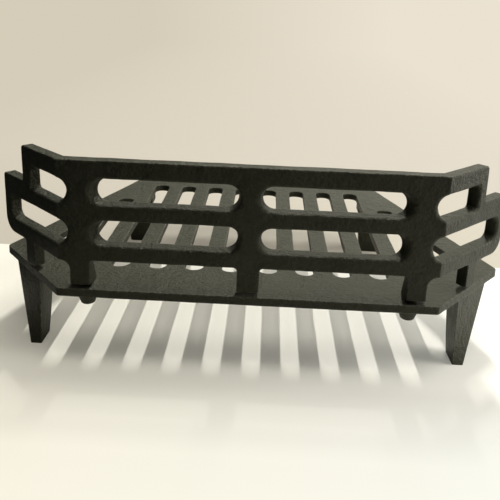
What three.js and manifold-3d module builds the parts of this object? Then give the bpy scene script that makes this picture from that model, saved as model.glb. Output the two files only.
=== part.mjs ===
// A cast-iron log grate: a flat slotted bed on four angle legs, and a pierced front fret that lifts out.
// Millimetres, +Z up. The origin is on the floor under the middle of the bed, and the fret faces -Y.
import * as THREE from 'three';
import { mergeVertices } from 'three/addons/utils/BufferGeometryUtils.js';
import Module from 'manifold-3d';

const wasm = await Module();
wasm.setup();

// Fit between pieces that touch, and how far a cutter runs past the face it cuts.
const SEAT_GAP = 0.3;
const CUT_PAST = 1;

// Bed: plan measured from its front edge (y = 0) and its middle (x = 0).
const BED_DEPTH = 285;
const BED_FRONT_HALF = 138;
const BED_SIDE_HALF = 203;
const BED_REAR_HALF = 126.5;
const BED_SIDE_CORNER_Y = 70;
const BED_CORNER_RADIUS = 4;
const BED_TOP = 59.5;
const BED_THICKNESS = 6.5;
const BED_UNDERSIDE = BED_TOP - BED_THICKNESS;
const EDGE_CHAMFER = 0.8;

// The two slanted edges of its right-hand half: the front diagonal, and the side that narrows to the rear.
const DIAGONAL_ANGLE = Math.atan2(BED_SIDE_CORNER_Y, BED_SIDE_HALF - BED_FRONT_HALF);
const DIAGONAL_LENGTH = Math.hypot(BED_SIDE_CORNER_Y, BED_SIDE_HALF - BED_FRONT_HALF);
const SIDE_SLOPE = (BED_SIDE_HALF - BED_REAR_HALF) / (BED_DEPTH - BED_SIDE_CORNER_Y);

// Leg screws: one for each leg, up through the leg's flange into a blind tapped boss under the bed.
const SCREW_RADIUS = 3;
const SCREW_LENGTH = 16;
const SCREW_HEAD_FLATS = 10;
const SCREW_HEAD_HEIGHT = 4;
const SCREW_HOLE_CLEARANCE = 0.4;
const SCREW_TIP_CLEARANCE = 2;
const WASHER_RADIUS = 6.25;
const WASHER_THICKNESS = 1.6;
const BOSS_BEYOND_WASHER = 0.25;
const SCREW_BOSS_RADIUS = WASHER_RADIUS + BOSS_BEYOND_WASHER;
const SCREW_BOSS_HEIGHT = 6;
const BOSS_TO_WALL = 1;
const FLANGE_THICKNESS = 6;
const FLANGE_REACH = 11;
const FLANGE_CORNER_RADIUS = 4;
const BOSS_MOUTH = BED_UNDERSIDE - SCREW_BOSS_HEIGHT;
const FLANGE_TOP = BOSS_MOUTH - SEAT_GAP;
const FLANGE_BOTTOM = FLANGE_TOP - FLANGE_THICKNESS;
const WASHER_TOP = FLANGE_BOTTOM - SEAT_GAP;
const HEAD_TOP = WASHER_TOP - WASHER_THICKNESS - SEAT_GAP;
const SCREW_TIP = HEAD_TOP + SCREW_LENGTH;

// Legs: angle castings that taper down to a small toe.
const LEG_TOP = BED_UNDERSIDE - SEAT_GAP;
const LEG_WALL = 7.5;
const LEG_RINGS = 6;
const FLANGE_SHARE = (FLANGE_BOTTOM + FLANGE_THICKNESS / 2) / LEG_TOP;

// Front leg: its head's front wall lies along the bed's diagonal, between two distances from the side corner.
const FRONT_LEG_SPAN = [62.9, 17.4];
const FRONT_LEG_INSET = 1;
const FRONT_LEG_HEAD = FRONT_LEG_SPAN.map((along) => besideDiagonal(along, FRONT_LEG_INSET));
const FRONT_LEG_HEAD_DEPTH = 30.3;
const FRONT_LEG_TOE_AHEAD = 3.7;
const FRONT_LEG_TOE_WIDTH = 8.5;
const FRONT_LEG_TOE_DEPTH = 18;
const FRONT_LEG_REAR_CURVE = 0.8;
const FRONT_LEG_REAR_SKEW = 1.5;
const FRONT_SCREW_X = FRONT_LEG_HEAD[0][0] + LEG_WALL + SCREW_BOSS_RADIUS + BOSS_TO_WALL;
const FRONT_SCREW_INWARD = FRONT_LEG_INSET + LEG_WALL + SCREW_BOSS_RADIUS + BOSS_TO_WALL;
const FRONT_SCREW = [FRONT_SCREW_X, diagonalY(FRONT_SCREW_X, FRONT_SCREW_INWARD)];

// Rear leg: its outer wall runs beside the bed's narrowing side.
const REAR_LEG_SETBACK = 59;
const REAR_LEG_INSET = 3;
const REAR_LEG_HEAD_SIZE = [33.5, 36];
const REAR_LEG_TOE_OFFSET = [5, 4];
const REAR_LEG_TOE_SIZE = [20, 16];
const REAR_LEG_HEAD_FRONT = BED_DEPTH - REAR_LEG_SETBACK;
const REAR_LEG_HEAD = boxOf(
  [sideX(REAR_LEG_HEAD_FRONT) - REAR_LEG_INSET - REAR_LEG_HEAD_SIZE[0], REAR_LEG_HEAD_FRONT],
  REAR_LEG_HEAD_SIZE,
);
const REAR_LEG_TOE = boxOf(
  [REAR_LEG_HEAD.inner + REAR_LEG_TOE_OFFSET[0], REAR_LEG_HEAD.front + REAR_LEG_TOE_OFFSET[1]],
  REAR_LEG_TOE_SIZE,
);
const REAR_SCREW_BEHIND_WALL = 13.5;
const REAR_SCREW_Y = REAR_LEG_HEAD.front + LEG_WALL + REAR_SCREW_BEHIND_WALL;
const REAR_SCREW_INWARD = REAR_LEG_INSET + LEG_WALL + SCREW_BOSS_RADIUS + BOSS_TO_WALL;
const REAR_SCREW = [sideX(REAR_SCREW_Y) - REAR_SCREW_INWARD * Math.hypot(1, SIDE_SLOPE), REAR_SCREW_Y];
const REAR_FLANGE_END_INSET = 1.5;

// Slots on each side of the middle bar, on one pitch: long ones, one cut short, and one in the side corner.
const SLOT_WIDTH = 15;
const SLOT_FRONT_Y = 40.5;
const LONG_SLOT_REAR_RADIUS = 7;
const SLOT_REAR_RADIUS = 4.5;
const LONG_SLOTS_A_SIDE = 4;
const SLOTS_A_SIDE = LONG_SLOTS_A_SIDE + 2;
const LONG_SLOT_REAR_RIM = 36;
const SIDE_SLOT_RIM = 17.3;
const CORNER_SLOT_RIM = 23.5;
const CORNER_SLOT_BEHIND_FLANGE = 4;
const CORNER_SLOT_LENGTH = 21;
const CORNER_SLOT_TIP_RADIUS = 2;
const CORNER_SLOT_FRONT_Y = FRONT_SCREW[1] + FLANGE_REACH + CORNER_SLOT_BEHIND_FLANGE;
const CORNER_SLOT_OUTER_X = sideX(CORNER_SLOT_FRONT_Y + CORNER_SLOT_LENGTH) - CORNER_SLOT_RIM;
const SLOT_PITCH = (CORNER_SLOT_OUTER_X - SLOT_WIDTH / 2) / (SLOTS_A_SIDE - 0.5);

// Fret: one casting, a main panel with a wing swept back from each end. Heights are above the bed's top.
const FRET_FRONT_Y = 1.5;
const FRET_THICKNESS = 9;
const FRET_BACK_Y = FRET_FRONT_Y + FRET_THICKNESS;
const BEND_INSET = 1.7;
const BEND_X = BED_FRONT_HALF - BEND_INSET;
const WING_TURN_OUT = THREE.MathUtils.degToRad(5.12);
const WING_SWEEP = DIAGONAL_ANGLE - WING_TURN_OUT;
const WING_SHORTFALL = 14.5;
const TIER_STEP = 31.5;
const LOWER_WING_LENGTH = DIAGONAL_LENGTH - WING_SHORTFALL;
const UPPER_WING_LENGTH = LOWER_WING_LENGTH - TIER_STEP;
const TIER_CORNER_RADIUS = 2.5;
const WING_TOE_RADIUS = 12;

// Its rails and rows of windows, from the bottom up.
const FOOT_BOTTOM = 2.5;
const RAIL_BOTTOM = 21.6;
const BOTTOM_RAIL = 11.6;
const WINDOW_HEIGHT = 19.3;
const MIDDLE_RAIL = 11.7;
const TOP_RAIL = 13.4;
const TIER_RAIL = 16.5;
const LOWER_WINDOW_BOTTOM = RAIL_BOTTOM + BOTTOM_RAIL;
const LOWER_TIER_TOP = LOWER_WINDOW_BOTTOM + WINDOW_HEIGHT + TIER_RAIL;
const UPPER_WINDOW_BOTTOM = LOWER_WINDOW_BOTTOM + WINDOW_HEIGHT + MIDDLE_RAIL;
const FRET_TOP = UPPER_WINDOW_BOTTOM + WINDOW_HEIGHT + TOP_RAIL;

// Its feet.
const CENTRE_FOOT_HALF = 8;
const CENTRE_FOOT_FILLET = 3;
const CORNER_FOOT_WIDTH = 14.5;
const CORNER_FOOT_FILLET = 7.8;
const CORNER_FOOT_END_X = BEND_X - CORNER_FOOT_FILLET;
const CORNER_FOOT_START_X = CORNER_FOOT_END_X - CORNER_FOOT_WIDTH;
const WING_FOOT_WIDTH = 12;
const WING_FOOT_END = BEND_X + UPPER_WING_LENGTH;
const WING_FOOT_START = WING_FOOT_END - WING_FOOT_WIDTH;
const FOOT_RADIUS = 1.5;

// Its windows have round ends, a broken front edge and walls that draw in towards the back.
const MULLION_HALF = 6.5;
const WINDOW_END_X = CORNER_FOOT_START_X;
const POST_WIDTH = 12;
const WING_SLOT_START_X = WINDOW_END_X + POST_WIDTH;
const UPPER_SLOT_END_POST = 8.5;
const UPPER_SLOT_END_RADIUS = 4;
const LOWER_SLOT_END_POST = 7.5;
const LOWER_SLOT_END_RADIUS = 7;
const WINDOW_CHAMFER = 1.5;
const WINDOW_DRAFT = { mullion: 2.3, post: 5.2, wingEnd: 2.5, rails: 1 };

// Gusset behind each corner foot. It stands on the bed, and a peg under it drops through the bed.
const GUSSET_WIDTH = 9;
const GUSSET_ROOT = 5;
const GUSSET_REACH = 8;
const GUSSET_TOE_HEIGHT = 3.2;
const GUSSET_FRONT_Y = FRET_BACK_Y - GUSSET_ROOT;
const GUSSET_REAR_Y = FRET_BACK_Y + GUSSET_REACH;
const PEG_BEHIND_FRET = 0.5;
const PEG_X = CORNER_FOOT_START_X + GUSSET_WIDTH / 2;
const PEG_Y = FRET_BACK_Y + PEG_BEHIND_FRET;
const PEG_RADIUS = 3;
const PEG_TIP_CHAMFER = 1;
const PEG_CLEARANCE = 0.5;
const PEG_BOSS_TOP_RADIUS = 8.5;
const PEG_BOSS_BOTTOM_RADIUS = 5.6;
const PEG_BOSS_HEIGHT = 9;
const PEG_BOSS_ROUNDING = 1.5;
const PEG_BOSS_MOUTH = BED_UNDERSIDE - PEG_BOSS_HEIGHT;

const ARC_STEP = Math.PI / 16;
const ROUND_SEGMENTS = 40;

const CAST_IRON = { color: 0x2f302d, roughness: 0.62, metalness: 0.45 };
const SCREW_STEEL = { color: 0x3a3a3c, roughness: 0.45, metalness: 0.8 };

// Where the line that runs beside the bed's front diagonal, so far in from it, crosses an x.
function diagonalY(x, inward) {
  return (x - BED_FRONT_HALF) * Math.tan(DIAGONAL_ANGLE) + inward / Math.cos(DIAGONAL_ANGLE);
}

// The point so far along the diagonal from the bed's side corner, and so far in from the edge.
function besideDiagonal(along, inward) {
  const [forward, sideways] = [Math.sin(DIAGONAL_ANGLE), Math.cos(DIAGONAL_ANGLE)];
  return [
    BED_SIDE_HALF - along * sideways - inward * forward,
    BED_SIDE_CORNER_Y - along * forward + inward * sideways,
  ];
}

// The bed's narrowing side, as x at a y and as y at an x.
function sideX(y) {
  return BED_SIDE_HALF - SIDE_SLOPE * (y - BED_SIDE_CORNER_Y);
}

function sideY(x) {
  return BED_SIDE_CORNER_Y + (BED_SIDE_HALF - x) / SIDE_SLOPE;
}

function boxOf([inner, front], [width, depth]) {
  return { inner, outer: inner + width, front, rear: front + depth };
}

// Points along a closed outline whose corners [x, y, radius] are rounded.
function rounded(corners) {
  const points = [];
  const add = (point) => {
    if (points.length === 0 || points.at(-1).distanceTo(point) > 1e-6) points.push(point);
  };
  corners.forEach(([x, y, radius], i) => {
    const corner = new THREE.Vector2(x, y);
    if (!radius) {
      add(corner);
      return;
    }
    const before = corners.at(i - 1);
    const after = corners[(i + 1) % corners.length];
    const back = new THREE.Vector2(before[0], before[1]).sub(corner).normalize();
    const on = new THREE.Vector2(after[0], after[1]).sub(corner).normalize();
    const half = Math.acos(back.dot(on)) / 2;
    const centre = back.clone().add(on).normalize().multiplyScalar(radius / Math.sin(half)).add(corner);
    const start = back.clone().multiplyScalar(radius / Math.tan(half)).add(corner).sub(centre);
    const turn = (Math.PI - 2 * half) * -Math.sign(back.cross(on));
    const steps = Math.max(2, Math.ceil(Math.abs(turn) / ARC_STEP));
    for (let k = 0; k <= steps; k++) {
      add(start.clone().rotateAround(new THREE.Vector2(), (turn * k) / steps).add(centre));
    }
  });
  if (points[0].distanceTo(points.at(-1)) < 1e-6) points.pop();
  return points;
}

// A plate that rises from z = 0, with its edges chamfered inside the outline.
function plate(outline, holes, thickness, chamfer = 0) {
  const shape = new THREE.Shape(outline);
  shape.holes = holes.map((hole) => new THREE.Path(hole));
  const geometry = new THREE.ExtrudeGeometry(shape, {
    depth: thickness - 2 * chamfer,
    bevelEnabled: chamfer > 0,
    bevelThickness: chamfer,
    bevelSize: chamfer,
    bevelOffset: -chamfer,
    bevelSegments: 1,
  });
  return geometry.translate(0, 0, chamfer);
}

// A body turned about the vertical line through [x, y], from a profile of [radius, z] that ends on that line.
function turned(profile, [x, y]) {
  const points = profile.map(([radius, z]) => new THREE.Vector2(radius, z));
  return new THREE.LatheGeometry(points, ROUND_SEGMENTS).rotateX(Math.PI / 2).translate(x, y, 0);
}

function cylinder(radius, bottom, top, at) {
  return turned([[0, bottom], [radius, bottom], [radius, top], [0, top]], at);
}

function solidOf(geometry) {
  const bare = geometry.clone();
  bare.deleteAttribute('normal');
  bare.deleteAttribute('uv');
  const merged = mergeVertices(bare);
  const triVerts = new Uint32Array(merged.index.array);
  if (signedVolume(merged) < 0) triVerts.reverse();
  const vertProperties = new Float32Array(merged.attributes.position.array);
  return new wasm.Manifold(new wasm.Mesh({ numProp: 3, vertProperties, triVerts }));
}

function signedVolume(geometry) {
  const position = geometry.attributes.position;
  const [a, b, c] = [new THREE.Vector3(), new THREE.Vector3(), new THREE.Vector3()];
  let volume = 0;
  for (let i = 0; i < geometry.index.count; i += 3) {
    a.fromBufferAttribute(position, geometry.index.getX(i));
    b.fromBufferAttribute(position, geometry.index.getX(i + 1));
    c.fromBufferAttribute(position, geometry.index.getX(i + 2));
    volume += a.dot(b.cross(c)) / 6;
  }
  return volume;
}

function geometryOf(solid) {
  const mesh = solid.getMesh();
  const geometry = new THREE.BufferGeometry();
  geometry.setAttribute('position', new THREE.BufferAttribute(mesh.vertProperties, 3));
  geometry.setIndex(new THREE.BufferAttribute(mesh.triVerts, 1));
  geometry.computeVertexNormals();
  return geometry;
}

// The points of a right-hand outline on the side given: 1 for +X, -1 for -X.
const onSide = (points, side) => points.map(([x, ...rest]) => [side * x, ...rest]);

function slotCorners(number) {
  const middle = SLOT_PITCH * (number - 0.5);
  const [inner, outer] = [middle - SLOT_WIDTH / 2, middle + SLOT_WIDTH / 2];
  const end = SLOT_WIDTH / 2;
  if (number < SLOTS_A_SIDE) {
    const long = number <= LONG_SLOTS_A_SIDE;
    const rear = long ? BED_DEPTH - LONG_SLOT_REAR_RIM : sideY(outer + SIDE_SLOT_RIM);
    const rearRadius = long ? LONG_SLOT_REAR_RADIUS : SLOT_REAR_RADIUS;
    return [
      [inner, SLOT_FRONT_Y, end],
      [outer, SLOT_FRONT_Y, end],
      [outer, rear, rearRadius],
      [inner, rear, rearRadius],
    ];
  }
  return [
    [inner, CORNER_SLOT_FRONT_Y, end],
    [outer, CORNER_SLOT_FRONT_Y, end],
    [outer, sideY(outer + CORNER_SLOT_RIM), SLOT_REAR_RADIUS],
    [inner, sideY(inner + CORNER_SLOT_RIM), CORNER_SLOT_TIP_RADIUS],
  ];
}

function bed() {
  const outline = [
    [BED_FRONT_HALF, 0],
    [BED_SIDE_HALF, BED_SIDE_CORNER_Y],
    [BED_REAR_HALF, BED_DEPTH],
    [-BED_REAR_HALF, BED_DEPTH],
    [-BED_SIDE_HALF, BED_SIDE_CORNER_Y],
    [-BED_FRONT_HALF, 0],
  ].map((corner) => [...corner, BED_CORNER_RADIUS]);
  const slots = [];
  for (const side of [1, -1]) {
    for (let number = 1; number <= SLOTS_A_SIDE; number++) {
      slots.push(rounded(onSide(slotCorners(number), side)));
    }
  }
  const flat = plate(rounded(outline), slots, BED_THICKNESS, EDGE_CHAMFER);
  let solid = solidOf(flat.translate(0, 0, BED_UNDERSIDE));
  const overlap = BED_UNDERSIDE + BED_THICKNESS / 2;
  for (const side of [1, -1]) {
    const peg = [side * PEG_X, PEG_Y];
    const boss = turned([
      [0, PEG_BOSS_MOUTH],
      [PEG_BOSS_BOTTOM_RADIUS - PEG_BOSS_ROUNDING, PEG_BOSS_MOUTH],
      [PEG_BOSS_BOTTOM_RADIUS, PEG_BOSS_MOUTH + PEG_BOSS_ROUNDING],
      [PEG_BOSS_TOP_RADIUS, BED_UNDERSIDE],
      [PEG_BOSS_TOP_RADIUS, overlap],
      [0, overlap],
    ], peg);
    const pegHole = cylinder(PEG_RADIUS + PEG_CLEARANCE, PEG_BOSS_MOUTH - CUT_PAST, BED_TOP + CUT_PAST, peg);
    solid = solid.add(solidOf(boss)).subtract(solidOf(pegHole));
    for (const [x, y] of [FRONT_SCREW, REAR_SCREW]) {
      const at = [side * x, y];
      const boss = cylinder(SCREW_BOSS_RADIUS, BOSS_MOUTH, overlap, at);
      const holeEnd = SCREW_TIP + SCREW_TIP_CLEARANCE;
      const tapped = cylinder(SCREW_RADIUS + SEAT_GAP, BOSS_MOUTH - CUT_PAST, holeEnd, at);
      solid = solid.add(solidOf(boss)).subtract(solidOf(tapped));
    }
  }
  return geometryOf(solid);
}

// A window or wing slot as a cutter for the flat fret, its front towards +z.
function windowCutter({ start, end, bottom, endRadius, draft }, side) {
  const ring = (z, grow, drawn) => {
    const low = bottom + drawn * WINDOW_DRAFT.rails - grow;
    const high = bottom + WINDOW_HEIGHT - drawn * WINDOW_DRAFT.rails + grow;
    const [from, to] = [start + drawn * draft[0] - grow, end - drawn * draft[1] + grow];
    const startRadius = (high - low) / 2;
    const farRadius = Math.min(endRadius - drawn * WINDOW_DRAFT.rails + grow, startRadius);
    const outline = rounded([
      [from, low, startRadius],
      [to, low, farRadius],
      [to, high, farRadius],
      [from, high, startRadius],
    ]);
    return { z, points: outline.map(({ x, y }) => [x, y]) };
  };
  return loft([
    ring(-CUT_PAST, 0, 1),
    ring(0, 0, 1),
    ring(FRET_THICKNESS - WINDOW_CHAMFER, 0, 0),
    ring(FRET_THICKNESS, WINDOW_CHAMFER, 0),
    ring(FRET_THICKNESS + CUT_PAST, WINDOW_CHAMFER, 0),
  ], side);
}

// The fret laid out flat, wings unfolded, then stood on the bed's top with its front face at y = 0.
function flatFret() {
  const half = [
    [CENTRE_FOOT_HALF, FOOT_BOTTOM, FOOT_RADIUS],
    [CENTRE_FOOT_HALF, RAIL_BOTTOM, CENTRE_FOOT_FILLET],
    [CORNER_FOOT_START_X, RAIL_BOTTOM, FOOT_RADIUS],
    [CORNER_FOOT_START_X, FOOT_BOTTOM, FOOT_RADIUS],
    [CORNER_FOOT_END_X, FOOT_BOTTOM, FOOT_RADIUS],
    [CORNER_FOOT_END_X, RAIL_BOTTOM, CORNER_FOOT_FILLET],
    [WING_FOOT_START, RAIL_BOTTOM, FOOT_RADIUS],
    [WING_FOOT_START, FOOT_BOTTOM, FOOT_RADIUS],
    [WING_FOOT_END, FOOT_BOTTOM, FOOT_RADIUS],
    [WING_FOOT_END, RAIL_BOTTOM, FOOT_RADIUS],
    [BEND_X + LOWER_WING_LENGTH, RAIL_BOTTOM, WING_TOE_RADIUS],
    [BEND_X + LOWER_WING_LENGTH, LOWER_TIER_TOP, TIER_CORNER_RADIUS],
    [BEND_X + UPPER_WING_LENGTH, LOWER_TIER_TOP, TIER_CORNER_RADIUS],
    [BEND_X + UPPER_WING_LENGTH, FRET_TOP, TIER_CORNER_RADIUS],
  ];
  const outline = rounded([...half, ...onSide(half, -1).reverse()]);
  let solid = solidOf(plate(outline, [], FRET_THICKNESS, EDGE_CHAMFER));
  const main = {
    start: MULLION_HALF,
    end: WINDOW_END_X,
    endRadius: WINDOW_HEIGHT / 2,
    draft: [WINDOW_DRAFT.mullion, WINDOW_DRAFT.post],
  };
  const slotDraft = [WINDOW_DRAFT.post, WINDOW_DRAFT.wingEnd];
  const lowerSlot = {
    start: WING_SLOT_START_X,
    end: BEND_X + LOWER_WING_LENGTH - LOWER_SLOT_END_POST,
    endRadius: LOWER_SLOT_END_RADIUS,
    draft: slotDraft,
  };
  const upperSlot = {
    start: WING_SLOT_START_X,
    end: BEND_X + UPPER_WING_LENGTH - UPPER_SLOT_END_POST,
    endRadius: UPPER_SLOT_END_RADIUS,
    draft: slotDraft,
  };
  for (const side of [1, -1]) {
    for (const window of [
      { ...main, bottom: LOWER_WINDOW_BOTTOM },
      { ...main, bottom: UPPER_WINDOW_BOTTOM },
      { ...lowerSlot, bottom: LOWER_WINDOW_BOTTOM },
      { ...upperSlot, bottom: UPPER_WINDOW_BOTTOM },
    ]) {
      solid = solid.subtract(solidOf(windowCutter(window, side)));
    }
  }
  return geometryOf(solid).rotateX(Math.PI / 2).translate(0, FRET_THICKNESS, BED_TOP);
}

function fret() {
  const flat = solidOf(flatFret());
  const middle = new THREE.BoxGeometry(2 * BEND_X, 4 * FRET_THICKNESS, 4 * FRET_TOP).translate(0, 0, BED_TOP);
  let solid = flat.intersect(solidOf(middle));
  const wingBox = new THREE.BoxGeometry(2 * LOWER_WING_LENGTH, 4 * FRET_THICKNESS, 4 * FRET_TOP);
  for (const side of [1, -1]) {
    const box = wingBox.clone().translate(side * (BEND_X + LOWER_WING_LENGTH), 0, BED_TOP);
    const wing = geometryOf(flat.intersect(solidOf(box)));
    wing.translate(-side * BEND_X, 0, 0).rotateZ(side * WING_SWEEP).translate(side * BEND_X, 0, 0);
    solid = solid.add(solidOf(wing));
  }
  const bent = geometryOf(solid).translate(0, FRET_FRONT_Y, 0);
  solid = solidOf(bent);
  for (const side of [1, -1]) {
    const profile = [
      [GUSSET_FRONT_Y, SEAT_GAP],
      [GUSSET_REAR_Y, SEAT_GAP],
      [GUSSET_REAR_Y, GUSSET_TOE_HEIGHT],
      [FRET_BACK_Y, RAIL_BOTTOM],
      [GUSSET_FRONT_Y, RAIL_BOTTOM],
    ].map(([y, height]) => new THREE.Vector2(y, BED_TOP + height));
    const gusset = plate(profile, [], GUSSET_WIDTH).rotateX(Math.PI / 2).rotateZ(Math.PI / 2);
    gusset.translate(side * PEG_X - GUSSET_WIDTH / 2, 0, 0);
    const tip = PEG_BOSS_MOUTH + PEG_TIP_CHAMFER;
    const peg = turned([
      [0, tip],
      [PEG_RADIUS - PEG_TIP_CHAMFER, tip],
      [PEG_RADIUS, tip + PEG_TIP_CHAMFER],
      [PEG_RADIUS, BED_TOP + GUSSET_TOE_HEIGHT],
      [0, BED_TOP + GUSSET_TOE_HEIGHT],
    ], [side * PEG_X, PEG_Y]);
    solid = solid.add(solidOf(gusset)).add(solidOf(peg));
  }
  return geometryOf(solid);
}

// A body through rings of points at rising heights, on the side given.
function loft(rings, side) {
  const count = rings[0].points.length;
  const vertices = rings.flatMap(({ z, points }) => points.flatMap(([x, y]) => [side * x, y, z]));
  const triangles = [];
  for (let ring = 0; ring < rings.length - 1; ring++) {
    for (let i = 0; i < count; i++) {
      const [a, b] = [ring * count + i, ring * count + ((i + 1) % count)];
      triangles.push(a, b, b + count, a, b + count, a + count);
    }
  }
  const last = (rings.length - 1) * count;
  const capOf = ({ points }) => {
    return THREE.ShapeUtils.triangulateShape(points.map(([x, y]) => new THREE.Vector2(x, y)), []);
  };
  for (const [a, b, c] of capOf(rings[0])) triangles.push(a, c, b);
  for (const [a, b, c] of capOf(rings.at(-1))) triangles.push(last + a, last + b, last + c);
  const geometry = new THREE.BufferGeometry();
  geometry.setAttribute('position', new THREE.Float32BufferAttribute(vertices, 3));
  geometry.setIndex(triangles);
  return geometry;
}

const between = ([low, high], share) => low + (high - low) * share;

const middleOf = ([ax, ay], [bx, by]) => [(ax + bx) / 2, (ay + by) / 2];

// Front leg: one wall under the bed's diagonal edge, and one that runs back from its inner end.
function frontLegPoints(share) {
  const [[innerX, innerY], [outerX, outerY]] = FRONT_LEG_HEAD;
  const toeY = innerY - FRONT_LEG_TOE_AHEAD;
  const inner = new THREE.Vector2(innerX, between([toeY, innerY], share));
  const outer = new THREE.Vector2(
    between([innerX + FRONT_LEG_TOE_WIDTH, outerX], share),
    between([toeY, outerY], share),
  );
  const along = outer.clone().sub(inner).normalize();
  const outerBack = new THREE.Vector2(-along.y, along.x).multiplyScalar(LEG_WALL).add(outer);
  const wallX = innerX + LEG_WALL;
  const rears = [toeY + FRONT_LEG_TOE_DEPTH, innerY + FRONT_LEG_HEAD_DEPTH];
  const rearY = between(rears, share ** FRONT_LEG_REAR_CURVE);
  return [
    [inner.x, inner.y],
    [outer.x, outer.y],
    [outerBack.x, outerBack.y],
    [wallX, outerBack.y - ((outerBack.x - wallX) * along.y) / along.x],
    [wallX, rearY - FRONT_LEG_REAR_SKEW],
    [innerX, rearY],
  ];
}

// Its flange spans the angle from the middle of one wall to the middle of the other.
function frontFlange() {
  const [inner, outer, outerBack, inside] = frontLegPoints(FLANGE_SHARE);
  const [near, far] = [middleOf(inner, inside), middleOf(outer, outerBack)];
  const rear = FRONT_SCREW[1] + FLANGE_REACH;
  return [near, far, [far[0], rear], [near[0], rear]];
}

// Rear leg: one wall across the front, and one that runs back from its outer end beside the bed's edge.
function rearLegPoints(share) {
  const at = (key) => between([REAR_LEG_TOE[key], REAR_LEG_HEAD[key]], share);
  const lean = SIDE_SLOPE * share;
  const outerAt = (y) => at('outer') - lean * (y - at('front'));
  const wallAcross = LEG_WALL * Math.hypot(1, lean);
  const wallRear = at('front') + LEG_WALL;
  return [
    [at('inner'), at('front')],
    [at('outer'), at('front')],
    [outerAt(at('rear')), at('rear')],
    [outerAt(at('rear')) - wallAcross, at('rear')],
    [outerAt(wallRear) - wallAcross, wallRear],
    [at('inner'), wallRear],
  ];
}

function rearFlange() {
  const [inner, outer, outerRear, wallRear, inside, innerBack] = rearLegPoints(FLANGE_SHARE);
  const nearX = inner[0] + REAR_FLANGE_END_INSET;
  const [corner, end] = [middleOf(outer, inside), middleOf(outerRear, wallRear)];
  const rear = REAR_SCREW[1] + FLANGE_REACH;
  const farX = between([corner[0], end[0]], (rear - corner[1]) / (end[1] - corner[1]));
  return [[nearX, middleOf(inner, innerBack)[1]], corner, [farX, rear], [nearX, rear]];
}

function leg(pointsAt, flangeCorners, screw, side) {
  const rings = [];
  for (let ring = 0; ring < LEG_RINGS; ring++) {
    const share = ring / (LEG_RINGS - 1);
    rings.push({ z: LEG_TOP * share, points: pointsAt(share) });
  }
  const corners = flangeCorners.map((corner) => [...corner, FLANGE_CORNER_RADIUS]);
  const flange = plate(rounded(onSide(corners, side)), [], FLANGE_THICKNESS).translate(0, 0, FLANGE_BOTTOM);
  const at = [side * screw[0], screw[1]];
  const holeRadius = SCREW_RADIUS + SCREW_HOLE_CLEARANCE;
  const hole = cylinder(holeRadius, FLANGE_BOTTOM - CUT_PAST, FLANGE_TOP + CUT_PAST, at);
  return geometryOf(solidOf(loft(rings, side)).add(solidOf(flange)).subtract(solidOf(hole)));
}

function washer([x, y], side) {
  const ring = (radius) => {
    const angle = (2 * Math.PI) / ROUND_SEGMENTS;
    const steps = Array.from({ length: ROUND_SEGMENTS }, (_, i) => i * angle);
    return steps.map((a) => new THREE.Vector2(radius * Math.cos(a), radius * Math.sin(a)));
  };
  const geometry = plate(ring(WASHER_RADIUS), [ring(SCREW_RADIUS + SCREW_HOLE_CLEARANCE)], WASHER_THICKNESS);
  return geometry.translate(side * x, y, WASHER_TOP - WASHER_THICKNESS);
}

function screw([x, y], side) {
  const at = [side * x, y];
  const cornerRadius = SCREW_HEAD_FLATS / 2 / Math.cos(Math.PI / 6);
  const head = new THREE.CylinderGeometry(cornerRadius, cornerRadius, SCREW_HEAD_HEIGHT, 6);
  head.rotateX(Math.PI / 2).translate(...at, HEAD_TOP - SCREW_HEAD_HEIGHT / 2);
  const shank = cylinder(SCREW_RADIUS, HEAD_TOP - SCREW_HEAD_HEIGHT / 2, SCREW_TIP, at);
  return geometryOf(solidOf(head).add(solidOf(shank)));
}

const grate = new THREE.Group();
grate.name = 'log_grate';

function place(name, geometry, look) {
  geometry.translate(0, -BED_DEPTH / 2, 0);
  const mesh = new THREE.Mesh(geometry, new THREE.MeshStandardMaterial(look));
  mesh.name = name;
  grate.add(mesh);
}

place('bed', bed(), CAST_IRON);
place('front_fret', fret(), CAST_IRON);
for (const [side, hand] of [[1, 'right'], [-1, 'left']]) {
  place(`front_leg_${hand}`, leg(frontLegPoints, frontFlange(), FRONT_SCREW, side), CAST_IRON);
  place(`rear_leg_${hand}`, leg(rearLegPoints, rearFlange(), REAR_SCREW, side), CAST_IRON);
  place(`front_washer_${hand}`, washer(FRONT_SCREW, side), SCREW_STEEL);
  place(`rear_washer_${hand}`, washer(REAR_SCREW, side), SCREW_STEEL);
  place(`front_screw_${hand}`, screw(FRONT_SCREW, side), SCREW_STEEL);
  place(`rear_screw_${hand}`, screw(REAR_SCREW, side), SCREW_STEEL);
}

export default grate;
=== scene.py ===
"""Looks for a cast-iron log grate.

It has a slotted bed, a pierced fret that lifts out of it, four angle legs and their screws. Lengths are in
millimetres and scaled by MM. Plan measurements run back from the bed's front edge, which is at y = FRONT.
"""
import math

import bmesh
import bpy
from mathutils import Matrix, Vector, noise


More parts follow.
